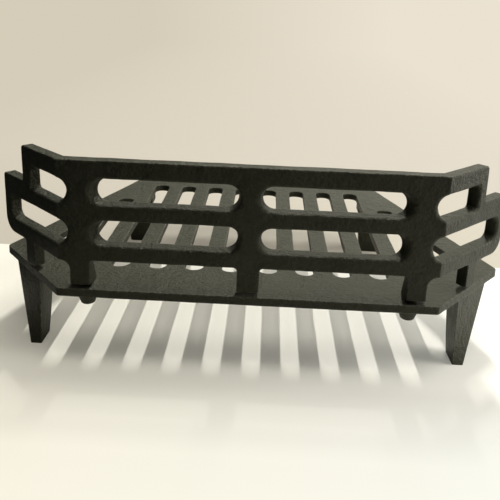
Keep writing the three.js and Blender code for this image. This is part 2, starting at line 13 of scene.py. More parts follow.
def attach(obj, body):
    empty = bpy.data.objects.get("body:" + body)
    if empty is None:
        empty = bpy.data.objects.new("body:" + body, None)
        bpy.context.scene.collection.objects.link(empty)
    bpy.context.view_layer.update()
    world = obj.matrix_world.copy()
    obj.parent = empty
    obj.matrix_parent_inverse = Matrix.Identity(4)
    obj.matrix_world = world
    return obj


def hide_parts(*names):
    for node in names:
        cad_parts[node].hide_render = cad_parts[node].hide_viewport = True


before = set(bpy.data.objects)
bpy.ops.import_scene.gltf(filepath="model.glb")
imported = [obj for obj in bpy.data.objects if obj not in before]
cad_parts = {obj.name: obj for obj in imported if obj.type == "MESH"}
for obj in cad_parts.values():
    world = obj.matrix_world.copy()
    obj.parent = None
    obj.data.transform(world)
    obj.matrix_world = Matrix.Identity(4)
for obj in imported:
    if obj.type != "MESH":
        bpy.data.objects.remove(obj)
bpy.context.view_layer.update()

MM = 0.001
FRONT = -142.5
SEAT_GAP = 0.3
SAME_PLACE = 0.01
CUTTER_REACH = 2.0

# The bed: depth, half widths at its front, widest and rear, heights.
BED_DEPTH = 285.0
BED_FRONT_HALF = 138.0
BED_SIDE_HALF = 203.0
BED_REAR_HALF = 126.5
BED_SIDE_Y = 70.0
BED_TOP = 59.5
BED_UNDERSIDE = 53.0
BED_THICK = BED_TOP - BED_UNDERSIDE
BED_ROUNDING = 4.0
DIAGONAL = math.atan2(BED_SIDE_Y, BED_SIDE_HALF - BED_FRONT_HALF)
SIDE_SLOPE = (BED_SIDE_HALF - BED_REAR_HALF) / (BED_DEPTH - BED_SIDE_Y)

# Its slots, counted outwards from the middle bar, and how far their rear ends stay off the bed's edge.
SLOT_WIDTH = 15.0
SLOT_PITCH = 29.41
SLOT_FRONT = 40.5
CORNER_SLOT_FRONT = 77.785
LONG_SLOTS, ALL_SLOTS = 4, 6
LONG_SLOT_RIM = 36.0
SHORT_SLOT_RIM = 17.3
CORNER_SLOT_RIM = 23.5

# The fret: heights above the bed's top, lengths along the unfolded panel.
FRET_FRONT = 1.5
FRET_THICK = 9.0
FRET_TOP = 96.9
LOWER_TIER_TOP = 69.0
RAIL_BOTTOM = 21.6
FOOT_BOTTOM = 2.5
PAST_MIDDLE = -12.0
MIDDLE_FOOT_HALF = 8.0
OUTER_FOOT_START, OUTER_FOOT_END = 114.0, 128.5
TIP_FOOT_WIDTH = 12.0
WINDOW_HEIGHT = 19.3
LOWER_WINDOW, UPPER_WINDOW = 33.2, 64.2
WINDOW_START, WINDOW_END = 6.5, 114.0
WING_WINDOW_START = 129.0
LOWER_WINDOW_POST, UPPER_WINDOW_POST = 7.5, 8.5
BEND_X = 136.3
WING_SWEEP = math.radians(42)
UPPER_WING_END, LOWER_WING_END = BEND_X + 49.53, BEND_X + 81.03
FOLD_STRIP = 1.2
FOLD_EASE = 5.0

# The gussets behind the fret's outer feet and the pegs below them.
GUSSET_FRONT, GUSSET_REAR, GUSSET_WIDTH = 5.5, 18.5, 9.0
PEG_X, PEG_Y = 118.5, 11.0
PEG_TIP = BED_UNDERSIDE - 9.0

# The legs and the screws that hold them.
LEG_TOP = BED_UNDERSIDE - SEAT_GAP
LEG_WALL = 7.5
LEG_RINGS = 5
BOSS_MOUTH = BED_UNDERSIDE - 6.0
FLANGE_THICK = 6.0
FLANGE_TOP = BOSS_MOUTH - SEAT_GAP
FLANGE_BOTTOM = FLANGE_TOP - FLANGE_THICK
FLANGE_SHARE = (FLANGE_BOTTOM + FLANGE_THICK / 2) / LEG_TOP
FLANGE_PAST_SCREW = 11.0
WASHER_TOP = FLANGE_BOTTOM - SEAT_GAP
WASHER_THICK = 1.6
HEAD_TOP = WASHER_TOP - WASHER_THICK - SEAT_GAP
HEAD_HEIGHT, HEAD_INRADIUS = 4.0, 5.0
FRONT_SCREW = (174.467, 62.785)
REAR_SCREW = (120.92, 247.0)

# The front leg: its head's ends along the bed's diagonal, its toe beside them, and how its inner wall tapers.
FRONT_HEAD_INNER, FRONT_HEAD_OUTER, FRONT_HEAD_INSET = 62.9, 17.4, 1.0
FRONT_TOE_FORWARD, FRONT_TOE_WIDTH = 3.7, 8.5
FRONT_TOE_DEPTH, FRONT_HEAD_DEPTH = 18.0, 30.3
FRONT_WALL_CURVE = 0.8
FRONT_WALL_BEVEL = 1.5

# The rear leg: its front and rear at the toe and at the head, and its widths.
REAR_TOE_FRONT, REAR_HEAD_FRONT = 230.0, 226.0
REAR_TOE_REAR, REAR_HEAD_REAR = 246.0, 262.0
REAR_HEAD_OFF_SIDE, REAR_HEAD_WIDTH = 3.0, 33.5
REAR_TOE_INNER, REAR_TOE_OUTER = 5.0, 25.0

# The bed's and the fret's unevenness: size of the waves and the most that they move a vertex along an axis.
# The noise's pattern is shifted by its seed, which is the clock unless it is set.
WANDER_SEED = 1
LONG_WAVES = (15, 0.22)
SHORT_WAVES = (5, 0.10)

# Profiles of turned forms, as points of (radius, height).
PEG_BOSS = [
    (0, PEG_TIP), (4.1, PEG_TIP), (4.8, PEG_TIP + 0.2), (5.3, PEG_TIP + 0.7), (5.6, PEG_TIP + 1.5),
    (7.9, BED_UNDERSIDE - 1.2), (8.3, BED_UNDERSIDE - 0.4), (9.2, BED_UNDERSIDE + 0.4),
    (9.2, BED_UNDERSIDE + 2), (0, BED_UNDERSIDE + 2),
]
PEG_HOLE = [
    (0, PEG_TIP - 1), (4.3, PEG_TIP - 1), (3.5, PEG_TIP + 0.5), (3.5, BED_TOP - 0.5), (4.5, BED_TOP + 1),
    (0, BED_TOP + 1),
]
PEG = [(0, PEG_TIP + 1), (2, PEG_TIP + 1), (3, PEG_TIP + 2), (3, BED_TOP + 3), (0, BED_TOP + 3)]
SCREW_BOSS = [
    (0, BOSS_MOUTH), (5.8, BOSS_MOUTH), (6.3, BOSS_MOUTH + 0.2), (6.5, BOSS_MOUTH + 0.7),
    (6.5, BED_UNDERSIDE - 1), (7.3, BED_UNDERSIDE + 0.3), (7.3, BED_UNDERSIDE + 2), (0, BED_UNDERSIDE + 2),
]
SCREW_HOLE = [
    (0, BOSS_MOUTH - 1), (3.9, BOSS_MOUTH - 1), (3.3, BOSS_MOUTH + 0.4), (3.3, BOSS_MOUTH + 9.5),
    (0, BOSS_MOUTH + 9.5),
]
FLANGE_HOLE = [(0, FLANGE_BOTTOM - 1), (3.4, FLANGE_BOTTOM - 1), (3.4, FLANGE_TOP + 1), (0, FLANGE_TOP + 1)]
TURNED_HEAD = [
    (0, HEAD_TOP - HEAD_HEIGHT), (4.7, HEAD_TOP - HEAD_HEIGHT), (5.9, HEAD_TOP - HEAD_HEIGHT + 0.7),
    (5.9, HEAD_TOP), (0, HEAD_TOP),
]
SHANK = [(0, HEAD_TOP - 1), (3, HEAD_TOP - 1), (3, HEAD_TOP + 15.3), (2.3, HEAD_TOP + 16), (0, HEAD_TOP + 16)]
WASHER_LOW = WASHER_TOP - WASHER_THICK
WASHER = [
    (3.4, WASHER_LOW + 0.2), (3.6, WASHER_LOW), (5.9, WASHER_LOW), (6.15, WASHER_LOW + 0.1),
    (6.25, WASHER_LOW + 0.35), (6.25, WASHER_TOP - 0.2), (6.05, WASHER_TOP), (3.6, WASHER_TOP),
    (3.4, WASHER_TOP - 0.2), (3.4, WASHER_LOW + 0.2),
]

# Colours of the iron and the screws.
IRON_DARK = (0.0042, 0.0050, 0.0024, 1)
IRON_LIGHT = (0.0215, 0.0235, 0.0140, 1)
# Painted highlight: the light tone laid on the iron's edges and grain specks.
IRON_PAINTED_HIGHLIGHT = (0.13, 0.127, 0.108, 1)
IRON_SHEEN = (1.0, 1.0, 0.75, 1)
STEEL_DARK = (0.05, 0.05, 0.05, 1)
STEEL_LIGHT = (0.11, 0.105, 0.10, 1)

# Colours of the floor and the wall, from the picture's left to its right; the right ones are lighter,
# painted light from that side. The near floor's tones are darker, painted shade, and the last two pairs
# glow as painted light that takes no shadow.
FLOOR_MIDDLE = ((0.82, 0.80, 0.71, 1), (0.83, 0.82, 0.76, 1))
# Painted shade: the white floor's darker tones at its near edge.
FLOOR_NEAR_PAINTED_SHADE = ((0.62, 0.605, 0.535, 1), (0.64, 0.635, 0.60, 1))
FLOOR_FAR = (0.455, 0.425, 0.355, 1)
PAINTED_LIGHT_FRONT = ((0.97, 0.92, 0.77, 1), (0.98, 0.98, 0.89, 1))
PAINTED_LIGHT_FAR = ((0.665, 0.605, 0.485, 1), (0.83, 0.76, 0.64, 1))

# The camera, fitted to points of the photograph: its place, its turns in radians and its lens in pixels.
CAMERA_PLACE = (8.82, -544.86, 273.58)
YAW, PITCH, ROLL = -0.0230, 0.2486, -0.0393
FOCAL_PIXELS, PICTURE_PIXELS = 614.98, 500
SENSOR_WIDTH = 36
SHIFT_X, SHIFT_Y = -0.0043, -0.2062


# ---------------------------------------------------------------- bench work

def bench():
    """Back to object mode with nothing selected."""
    if bpy.context.object and bpy.context.object.mode != "OBJECT":
        bpy.ops.object.mode_set(mode="OBJECT")
    bpy.ops.object.select_all(action="DESELECT")


def take(piece):
    """Select one piece alone and make it the active one."""
    bench()
    piece.select_set(True)
    bpy.context.view_layer.objects.active = piece
    return piece


def edit(piece, select="DESELECT"):
    """Into edit mode on the vertices of one piece, with none of them selected or all."""
    take(piece)
    bpy.ops.object.mode_set(mode="EDIT")
    bpy.ops.mesh.select_mode(type="VERT")
    bpy.ops.mesh.select_all(action=select)


def pick(piece, test, kind="VERT"):
    """In edit mode, select what passes the test.

    The test gets a vertex's place, an edge's two ends, or a face's middle and normal.
    """
    bpy.ops.mesh.select_mode(type=kind)
    bpy.ops.mesh.select_all(action="DESELECT")
    work = bmesh.from_edit_mesh(piece.data)
    if kind == "VERT":
        for v in work.verts:
            v.select_set(test(v.co / MM))
    elif kind == "EDGE":
        for e in work.edges:
            e.select_set(test(e.verts[0].co / MM, e.verts[1].co / MM))
    else:
        for f in work.faces:
            f.select_set(test(f.calc_center_median() / MM, f.normal))
    work.select_flush_mode()
    bmesh.update_edit_mesh(piece.data)


def near(place):
    """A test for the vertex at one place."""
    target = Vector(place)
    return lambda at: (at - target).length < SAME_PLACE


def slide(x=0.0, y=0.0, z=0.0):
    bpy.ops.transform.translate(value=(x * MM, y * MM, z * MM))


def cut_across(place, axis):
    """In edit mode, cut all faces along a plane square to one axis."""
    square = Vector([float(i == axis) for i in range(3)])
    bpy.ops.mesh.select_all(action="SELECT")
    bpy.ops.mesh.bisect(plane_co=square * place * MM, plane_no=square, use_fill=False)


def first_point(name, x, y, z):
    """A new piece of one vertex, left in edit mode."""
    bench()
    bpy.ops.mesh.primitive_plane_add(size=MM, location=(0, 0, 0))
    piece = bpy.context.object
    piece.name = name
    edit(piece, "SELECT")
    bpy.ops.mesh.merge(type="CENTER")
    slide(x, y, z)
    return piece


def draw_to(steps):
    """Draw on from the selected vertex, edge by edge."""
    for step in steps:
        bpy.ops.mesh.extrude_vertices_move(TRANSFORM_OT_translate={"value": [length * MM for length in step]})


def trace(name, corners, z=0.0):
    """Trace an outline of (x, y, rounding) corners vertex by vertex, fill it and round its corners."""
    piece = first_point(name, corners[0][0], corners[0][1], z)
    draw_to([(there[0] - here[0], there[1] - here[1], 0) for here, there in zip(corners, corners[1:])])
    bpy.ops.mesh.select_all(action="SELECT")
    bpy.ops.mesh.edge_face_add()
    for i, corner in enumerate(corners):
        if len(corner) > 2 and corner[2]:
            at, before, after = (
                Vector(point[:2]) for point in (corner, corners[i - 1], corners[(i + 1) % len(corners)])
            )
            half = (before - at).angle(after - at) / 2
            pick(piece, near((corner[0], corner[1], z)))
            bpy.ops.mesh.bevel(
                offset_type="OFFSET", affect="VERTICES", clamp_overlap=False, profile=0.5,
                offset=corner[2] / math.tan(half) * MM * 0.9999,
                segments=max(2, round((math.pi - 2 * half) / math.radians(9))),
            )
    return piece


def tidy(piece):
    """Merge doubled vertices and turn every face outwards."""
    edit(piece, "SELECT")
    bpy.ops.mesh.remove_doubles(threshold=0.005 * MM)
    bpy.ops.mesh.normals_make_consistent(inside=False)
    bench()
    return piece


def raise_plate(name, corners, z, thickness):
    """A plate with rounded plan corners, standing from height z."""
    piece = trace(name, corners, z)
    bpy.ops.mesh.select_all(action="SELECT")
    bpy.ops.mesh.extrude_region_move(TRANSFORM_OT_translate={"value": (0, 0, thickness * MM)})
    return tidy(piece)


def revolve(name, profile, at, steps=48, ring=False):
    """Spin a profile of (radius, z) round the upright line through a place; a ring's profile is closed."""
    piece = first_point(name, at[0] + profile[0][0], at[1], profile[0][1])
    draw_to([(r1 - r0, 0, z1 - z0) for (r0, z0), (r1, z1) in zip(profile, profile[1:])])
    bpy.ops.mesh.select_all(action="SELECT")
    if ring:
        bpy.ops.mesh.remove_doubles(threshold=0.001 * MM)
    bpy.ops.mesh.spin(steps=steps, angle=math.tau, center=(at[0] * MM, at[1] * MM, 0), axis=(0, 0, 1))
    return tidy(piece)


def finish_with(piece, kind, **settings):
    """Add a modifier, set it and apply it."""
    take(piece)
    modifier = piece.modifiers.new(kind.lower(), kind)
    for key, value in settings.items():
        setattr(modifier, key, value)
    bpy.ops.object.modifier_apply(modifier=modifier.name)
    return piece


def soften(piece, width, segments=3):
    """Round the sharp edges."""
    return finish_with(
        piece, "BEVEL", width=width * MM, segments=segments,
        limit_method="ANGLE", angle_limit=math.radians(35),
        miter_outer="MITER_ARC", use_clamp_overlap=True, loop_slide=True,
    )


def combine(piece, other, how="UNION"):
    """Join, cut or trim a piece with another one, which is used up."""
    finish_with(piece, "BOOLEAN", operation=how, object=other, solver="EXACT")
    bpy.data.objects.remove(other)
    return piece


def gather(pieces):
    """One object of several loose ones."""
    bench()
    for piece in pieces:
        piece.select_set(True)
    bpy.context.view_layer.objects.active = pieces[0]
    bpy.ops.object.join()
    return bpy.context.object


def mirrored(piece, name):
    """The same piece for the other side of the grate, with a mesh of its own."""
    take(piece)
    bpy.ops.object.duplicate(linked=False)
    twin = bpy.context.object
    twin.name = name
    edit(twin, "SELECT")
    bpy.ops.transform.resize(value=(-1, 1, 1), center_override=(0, 0, 0))
    bpy.ops.mesh.flip_normals()
    bench()
    return twin


def move_mesh(piece, x=0.0, y=0.0, z=0.0):
    edit(piece, "SELECT")
    slide(x, y, z)
    bench()
    return piece


def rotate_mesh(piece, angle, axis):
    """Turn the mesh anticlockwise about an axis through the origin."""
    edit(piece, "SELECT")
    bpy.ops.transform.rotate(value=-angle, orient_axis=axis, center_override=(0, 0, 0))
    bench()
    return piece


def roughen(piece, pitch, axes):
    """Cut the faces into a grid and let them wander by a fraction of a millimetre, as a sand casting's do."""
    edit(piece, "SELECT")
    bpy.ops.mesh.quads_convert_to_tris()
    for axis in axes:
        spread = [v.co[axis] / MM for v in piece.data.vertices]
        place = min(spread) + pitch * 0.63
        while place < max(spread) - pitch * 0.3:
            cut_across(place, axis)
            place += pitch
    noise.seed_set(WANDER_SEED)
    work = bmesh.from_edit_mesh(piece.data)
    for v in work.verts:
        at = v.co / MM
        moves = [noise.noise_vector(at / size) * reach for size, reach in (LONG_WAVES, SHORT_WAVES)]
        v.co += (moves[0] + moves[1]) * MM
    bmesh.update_edit_mesh(piece.data)
    bench()
    return piece


def polish(piece, angle=40.0):
    """Smooth the rounded edges and keep the flats flat."""
    take(piece)
    bpy.ops.object.shade_smooth_by_angle(angle=math.radians(angle))
    return finish_with(piece, "WEIGHTED_NORMAL", mode="FACE_AREA", weight=100, keep_sharp=True)


# ---------------------------------------------------------------- the bed

def beside_diagonal(along, inward):
    """The point so far along the bed's front diagonal from its side corner, and so far in from the edge."""
    forward, sideways = math.sin(DIAGONAL), math.cos(DIAGONAL)
    x = BED_SIDE_HALF - along * sideways - inward * forward
    y = BED_SIDE_Y - along * forward + inward * sideways
    return (x, y)


def side_x(y):
    """Half the bed's width at a place behind its side corners."""
    return BED_SIDE_HALF - SIDE_SLOPE * (y - BED_SIDE_Y)


def side_y(x):
    """How far back the bed's narrowing side reaches a half width."""
    return BED_SIDE_Y + (BED_SIDE_HALF - x) / SIDE_SLOPE


def slot_corners(number):
    """Plan of a slot on the right of the middle bar.

    There are four long ones, a shorter one and a small one in the corner.
    """
    middle = SLOT_PITCH * (number - 0.5)
    inner, outer, nose = middle - SLOT_WIDTH / 2, middle + SLOT_WIDTH / 2, SLOT_WIDTH / 2
    start, rounding, inner_rounding = SLOT_FRONT, 4.5, 4.5
    if number <= LONG_SLOTS:
        rounding = inner_rounding = 7
        outer_rear = inner_rear = BED_DEPTH - LONG_SLOT_RIM
    elif number < ALL_SLOTS:
        outer_rear = inner_rear = side_y(outer + SHORT_SLOT_RIM)
    else:
        start, inner_rounding = CORNER_SLOT_FRONT, 2.0
        outer_rear, inner_rear = side_y(outer + CORNER_SLOT_RIM), side_y(inner + CORNER_SLOT_RIM)
    return [
        (inner, start, nose), (outer, start, nose),
        (outer, outer_rear, rounding), (inner, inner_rear, inner_rounding),
    ]


def bed_casting():
    right_side = [(BED_FRONT_HALF, 0), (BED_SIDE_HALF, BED_SIDE_Y), (BED_REAR_HALF, BED_DEPTH)]
    left_side = [(-x, y) for x, y in reversed(right_side)]
    outline = [(x, y, BED_ROUNDING) for x, y in [left_side[-1], *right_side, *left_side[:-1]]]
    bed = raise_plate("bed_casting", outline, BED_UNDERSIDE, BED_THICK)
    cutters = []
    for number in range(1, ALL_SLOTS + 1):
        cutter = raise_plate(
            "slot", slot_corners(number), BED_UNDERSIDE - CUTTER_REACH, BED_THICK + 2 * CUTTER_REACH,
        )
        cutters += [cutter, mirrored(cutter, "slot")]
    combine(bed, gather(cutters), "DIFFERENCE")
    soften(bed, 1.2)
    roughen(bed, 6, (0, 1))
    for side in (1, -1):
        combine(bed, revolve("boss", PEG_BOSS, (side * PEG_X, PEG_Y)))
        combine(bed, revolve("hole", PEG_HOLE, (side * PEG_X, PEG_Y)), "DIFFERENCE")
        for x, y in (FRONT_SCREW, REAR_SCREW):
            combine(bed, revolve("boss", SCREW_BOSS, (side * x, y)))
            combine(bed, revolve("hole", SCREW_HOLE, (side * x, y), steps=32), "DIFFERENCE")
    return polish(bed)


# ---------------------------------------------------------------- the fret

def on_flat_fret_face(z):
    """Whether a height is that of the flat fret's back or of its front."""
    return abs(z) < SAME_PLACE or abs(z - FRET_THICK) < SAME_PLACE


def window_outline(start, end, low, end_radius, draws, drawn):
    """A window's outline, drawn in by some millimetres from that on the fret's front."""
    bottom, top = low + drawn, low + WINDOW_HEIGHT - drawn
    nose = (top - bottom) / 2
    far = min(end_radius - drawn, nose)
    near_end, far_end = start + draws[0] * drawn, end - draws[1] * drawn
    return [(near_end, bottom, nose), (far_end, bottom, far), (far_end, top, far), (near_end, top, nose)]


def window_cutter(*window):
    """A cutter for a window of the flat fret: it draws in towards the back, which is at z = 0."""
    back = raise_plate("window", window_outline(*window, drawn=1), -CUTTER_REACH, CUTTER_REACH)
    front = raise_plate("window", window_outline(*window, drawn=0), FRET_THICK, CUTTER_REACH)
    cutter = gather([back, front])
    edit(cutter)
    pick(cutter, lambda middle, normal: on_flat_fret_face(middle.z), "FACE")
    bpy.ops.mesh.delete(type="ONLY_FACE")
    pick(cutter, lambda a, b: on_flat_fret_face(a.z) and abs(a.z - b.z) < SAME_PLACE, "EDGE")
    bpy.ops.mesh.bridge_edge_loops()
    return tidy(cutter)


def flat_fret():
    """The right half of the fret laid flat, its wing unfolded and its front upwards; plan y is the height."""
    tip_foot_start = UPPER_WING_END - TIP_FOOT_WIDTH
    outline = [
        (PAST_MIDDLE, RAIL_BOTTOM, 0), (-MIDDLE_FOOT_HALF, RAIL_BOTTOM, 3),
        (-MIDDLE_FOOT_HALF, FOOT_BOTTOM, 1.5), (MIDDLE_FOOT_HALF, FOOT_BOTTOM, 1.5),
        (MIDDLE_FOOT_HALF, RAIL_BOTTOM, 3), (OUTER_FOOT_START, RAIL_BOTTOM, 1.5),
        (OUTER_FOOT_START, FOOT_BOTTOM, 1.5), (OUTER_FOOT_END, FOOT_BOTTOM, 1.5),
        (OUTER_FOOT_END, RAIL_BOTTOM, 7.8), (tip_foot_start, RAIL_BOTTOM, 1.5),
        (tip_foot_start, FOOT_BOTTOM, 1.5), (UPPER_WING_END, FOOT_BOTTOM, 1.5),
        (UPPER_WING_END, RAIL_BOTTOM, 1.5), (LOWER_WING_END, RAIL_BOTTOM, 12),
        (LOWER_WING_END, LOWER_TIER_TOP, 2.5), (UPPER_WING_END, LOWER_TIER_TOP, 2.5),
        (UPPER_WING_END, FRET_TOP, 2.5), (PAST_MIDDLE, FRET_TOP, 0),
    ]
    fret = raise_plate("fret_casting", outline, 0, FRET_THICK)
    windows = [
        (WINDOW_START, WINDOW_END, LOWER_WINDOW, WINDOW_HEIGHT / 2, (2.3, 5.2)),
        (WINDOW_START, WINDOW_END, UPPER_WINDOW, WINDOW_HEIGHT / 2, (2.3, 5.2)),
        (WING_WINDOW_START, LOWER_WING_END - LOWER_WINDOW_POST, LOWER_WINDOW, 7, (2.2, 2.5)),
        (WING_WINDOW_START, UPPER_WING_END - UPPER_WINDOW_POST, UPPER_WINDOW, 4, (2.2, 2.5)),
    ]
    combine(fret, gather([window_cutter(*window) for window in windows]), "DIFFERENCE")

    def on_window_rim(at):
        return at.z > FRET_THICK - SAME_PLACE and any(
            start - SAME_PLACE < at.x < end + SAME_PLACE
            and low - SAME_PLACE < at.y < low + WINDOW_HEIGHT + SAME_PLACE
            for start, end, low, *_ in windows
        )

    edit(fret)
    work = bmesh.from_edit_mesh(fret.data)
    bpy.ops.mesh.select_mode(type="EDGE")
    for edge in work.edges:
        sharp = edge.is_manifold and edge.calc_face_angle() > math.radians(30)
        edge.select_set(sharp and all(on_window_rim(v.co / MM) for v in edge.verts))
    bmesh.update_edit_mesh(fret.data)
    bpy.ops.mesh.bevel(offset=2.4 * MM, segments=4, affect="EDGES", clamp_overlap=False)
    bench()
    return soften(fret, 1.4)


def bend_wing(fret):
    """Fold the wing back from the flat panel on a mitred line, with a narrow strip on each side of it."""
    mitre = math.tan(WING_SWEEP / 2)
    edit(fret)
    for at_x in (BEND_X - FOLD_STRIP, BEND_X, BEND_X + FOLD_STRIP):
        cut_across(at_x, 0)
    bpy.ops.mesh.select_mode(type="VERT")
    bpy.ops.mesh.select_all(action="DESELECT")
    work = bmesh.from_edit_mesh(fret.data)
    for v in work.verts:
        past = v.co.x / MM - BEND_X
        depth = FRET_THICK - v.co.z / MM
        side = 1 if past > 0.002 else -1
        v.co.x += side * depth * mitre * max(0.0, 1 - abs(past) / FOLD_EASE) * MM
        v.select_set(side > 0)
    bmesh.update_edit_mesh(fret.data)
    bpy.ops.transform.rotate(
        value=-WING_SWEEP, orient_axis="Y", center_override=(BEND_X * MM, 0, FRET_THICK * MM),
    )
    bench()
    return fret


def fret_casting():
    half = bend_wing(flat_fret())
    rotate_mesh(half, math.pi / 2, "X")
    move_mesh(half, 0, FRET_THICK + FRET_FRONT, BED_TOP)
    edit(half, "SELECT")
    bpy.ops.mesh.bisect(plane_co=(0, 0, 0), plane_no=(1, 0, 0), use_fill=False, clear_inner=True)
    fret = tidy(gather([half, mirrored(half, "other_half")]))
    roughen(fret, 4, (0, 2))
    for side in (1, -1):
        gusset = raise_plate("gusset", [
            (GUSSET_FRONT, SEAT_GAP), (GUSSET_REAR, SEAT_GAP), (GUSSET_REAR, 3.2),
            (FRET_FRONT + FRET_THICK, RAIL_BOTTOM), (GUSSET_FRONT, RAIL_BOTTOM),
        ], -GUSSET_WIDTH / 2, GUSSET_WIDTH)
        soften(gusset, 0.8, 2)
        rotate_mesh(gusset, math.pi / 2, "X")
        rotate_mesh(gusset, math.pi / 2, "Z")
        combine(fret, move_mesh(gusset, side * PEG_X, 0, BED_TOP))
        combine(fret, revolve("peg", PEG, (side * PEG_X, PEG_Y), steps=32))
    return polish(fret, 45)


# ---------------------------------------------------------------- the legs

def between(low, high, share):
    return low + (high - low) * share


def middle_of(a, b):
    return ((a[0] + b[0]) / 2, (a[1] + b[1]) / 2)


def front_leg_points(share):
    """Plan of the front leg at a share of its height, from its toe, 0, to its head, 1.

    One wall lies beside the bed's diagonal.
    """
    inner_head = beside_diagonal(FRONT_HEAD_INNER, FRONT_HEAD_INSET)
    outer_head = beside_diagonal(FRONT_HEAD_OUTER, FRONT_HEAD_INSET)
    toe_y = inner_head[1] - FRONT_TOE_FORWARD
    inner = Vector((inner_head[0], between(toe_y, inner_head[1], share)))
    outer_x = between(inner.x + FRONT_TOE_WIDTH, outer_head[0], share)
    outer = Vector((outer_x, between(toe_y, outer_head[1], share)))
    along = (outer - inner).normalized()
    back = outer + Vector((-along.y, along.x)) * LEG_WALL
    wall_x = inner.x + LEG_WALL
    rear = between(toe_y + FRONT_TOE_DEPTH, inner_head[1] + FRONT_HEAD_DEPTH, share ** FRONT_WALL_CURVE)
    return [
        tuple(inner), tuple(outer), tuple(back), (wall_x, back.y - (back.x - wall_x) * along.y / along.x),
        (wall_x, rear - FRONT_WALL_BEVEL), (inner.x, rear),
    ]


def rear_leg_points(share):
    """Plan of the rear leg: one wall across its front, one beside the bed's narrowing side."""
    front = between(REAR_TOE_FRONT, REAR_HEAD_FRONT, share)
    rear = between(REAR_TOE_REAR, REAR_HEAD_REAR, share)
    head_inner = side_x(REAR_HEAD_FRONT) - REAR_HEAD_OFF_SIDE - REAR_HEAD_WIDTH
    inner = between(head_inner + REAR_TOE_INNER, head_inner, share)
    outer = between(head_inner + REAR_TOE_OUTER, head_inner + REAR_HEAD_WIDTH, share)
    lean = SIDE_SLOPE * share
    across = LEG_WALL * math.hypot(1, lean)
    wall_front = front + LEG_WALL
    rear_x = outer - lean * (rear - front)
    inside_x = outer - lean * LEG_WALL - across
    return [
        (inner, front), (outer, front), (rear_x, rear), (rear_x - across, rear), (inside_x, wall_front),
        (inner, wall_front),
    ]


def front_flange():
    inner, outer, outer_back, inside = front_leg_points(FLANGE_SHARE)[:4]
    near_end, far_end = middle_of(inner, inside), middle_of(outer, outer_back)
    rear = FRONT_SCREW[1] + FLANGE_PAST_SCREW
    return [near_end, far_end, (far_end[0], rear), (near_end[0], rear)]


def rear_flange():
    inner, outer, outer_rear, wall_rear, inside, inner_back = rear_leg_points(FLANGE_SHARE)
    near_x, rear = inner[0] + 1.5, REAR_SCREW[1] + FLANGE_PAST_SCREW
    corner, end = middle_of(outer, inside), middle_of(outer_rear, wall_rear)
    far_x = between(corner[0], end[0], (rear - corner[1]) / (end[1] - corner[1]))
    return [(near_x, middle_of(inner, inner_back)[1]), corner, (far_x, rear), (near_x, rear)]


def leg_casting(name, points_at, flange_corners, screw):
    """An angle leg drawn up from its toe, with the flange that its screw goes through."""
    leg = trace(name, points_at(0))
    bpy.ops.mesh.select_all(action="SELECT")
    for ring in range(1, LEG_RINGS + 1):
        bpy.ops.mesh.extrude_region_move(TRANSFORM_OT_translate={"value": (0, 0, LEG_TOP / LEG_RINGS * MM)})
        z = LEG_TOP * ring / LEG_RINGS
        for (x0, y0), (x1, y1) in zip(points_at((ring - 1) / LEG_RINGS), points_at(ring / LEG_RINGS)):
            pick(leg, near((x0, y0, z)))
            slide(x1 - x0, y1 - y0)
        pick(leg, lambda middle, normal, z=z: abs(middle.z - z) < SAME_PLACE, "FACE")
    tidy(leg)
    soften(leg, 1.1)
    flange = raise_plate("flange", [(x, y, 4) for x, y in flange_corners], FLANGE_BOTTOM, FLANGE_THICK)
    combine(leg, soften(flange, 0.8, 2))
    combine(leg, revolve("hole", FLANGE_HOLE, screw, steps=32), "DIFFERENCE")
    return polish(leg)


def hexagon_screw(name, at):
    """A hexagon-head screw, head down, with its corners turned off."""
    bench()
    bpy.ops.mesh.primitive_cylinder_add(
        vertices=6, radius=HEAD_INRADIUS / math.cos(math.pi / 6) * MM, depth=HEAD_HEIGHT * MM,
        location=(at[0] * MM, at[1] * MM, (HEAD_TOP - HEAD_HEIGHT / 2) * MM),
    )
    screw = bpy.context.object
    screw.name = name
    bpy.ops.object.transform_apply(location=True, rotation=True, scale=True)
    combine(screw, revolve("turned_off", TURNED_HEAD, at), "INTERSECT")
    combine(screw, revolve("shank", SHANK, at, steps=32))
    return polish(screw, 25)


def plain_washer(name, at):
    return polish(revolve(name, WASHER, at, ring=True))


# ---------------------------------------------------------------- finishes

class Wire:
    """A socket with arithmetic: an expression on wires adds Math nodes."""

    def __init__(self, shop, socket):
        self.shop, self.socket = shop, socket

    def _math(self, operation, *values, clamp=False):
        settings = {"operation": operation, "use_clamp": clamp}
        return self.shop.add("ShaderNodeMath", settings, dict(enumerate(values)))

    def __add__(self, other):
        return self._math("ADD", self, other)

    def __sub__(self, other):
        return self._math("SUBTRACT", self, other)

    def __rsub__(self, other):
        return self._math("SUBTRACT", other, self)

    def __mul__(self, other):
        return self._math("MULTIPLY", self, other)

    def __truediv__(self, other):
        return self._math("DIVIDE", self, other)

    __radd__ = __add__

    def held(self):
        """Kept between 0 and 1."""
        return self._math("ADD", self, 0.0, clamp=True)

    def span(self, low, high):
        """0 below low, 1 above high and a straight line between."""
        return ((self - low) / (high - low)).held()

    def beside(self, name):
        """Another output of this wire's node."""
        return Wire(self.shop, self.socket.node.outputs[name])


